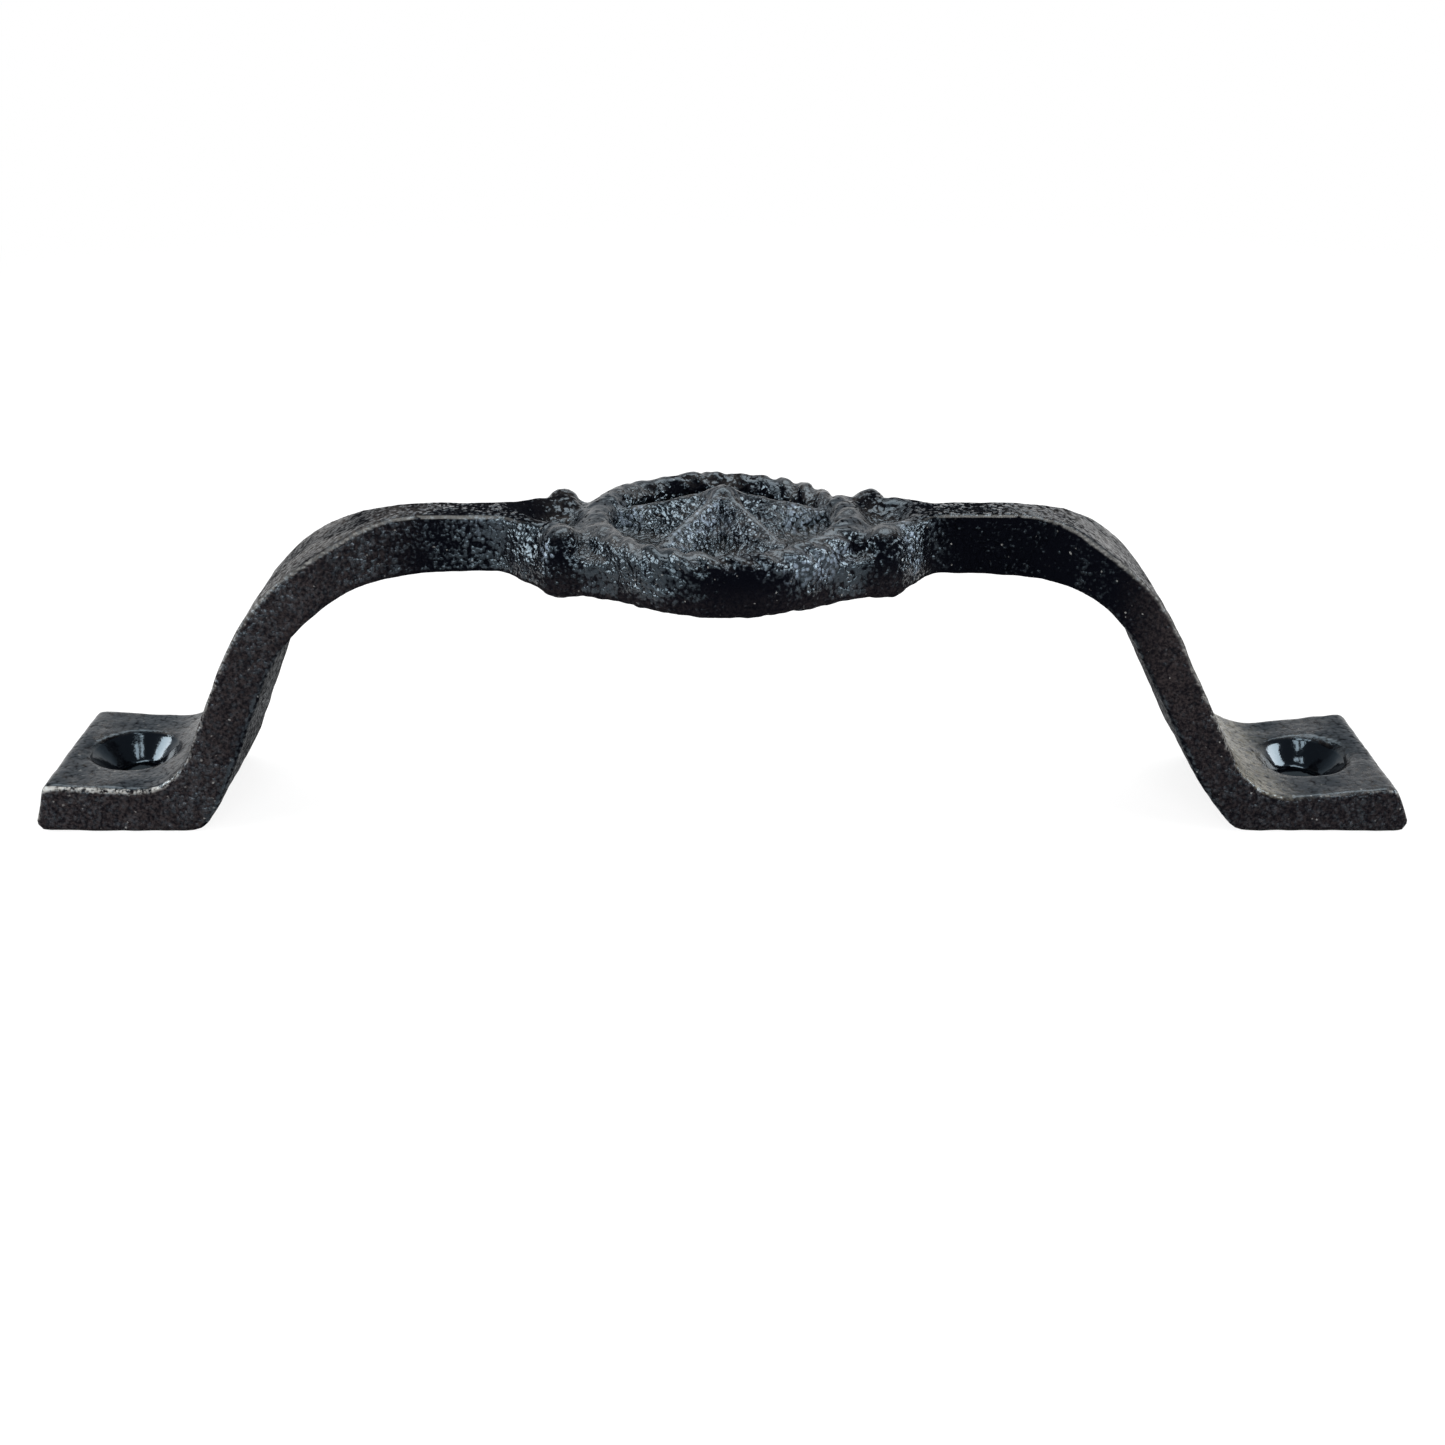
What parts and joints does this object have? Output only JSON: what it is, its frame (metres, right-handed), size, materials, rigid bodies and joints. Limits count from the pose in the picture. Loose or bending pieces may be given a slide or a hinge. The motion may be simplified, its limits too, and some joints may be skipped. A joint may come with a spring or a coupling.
{
  "type": "door pull",
  "caption": "Cast door pull: square countersunk feet, curved legs and a slim bar that widens into a round rope-edged medallion with a raised faceted star.",
  "frame": {"origin": "on the door's surface, under the middle of the pull", "axes": "+X along the bar towards the right foot, +Z away from the door, +Y up a door on which the pull is set level; the picture looks along +Y from above"},
  "size_m": [0.155, 0.0308, 0.0373],
  "materials": {
    "black_paint": "semi-gloss black paint over a pebbly sand-cast surface"
  },
  "bodies": {
    "root": {"pull_casting": "black_paint"}
  },
  "joints": []
}
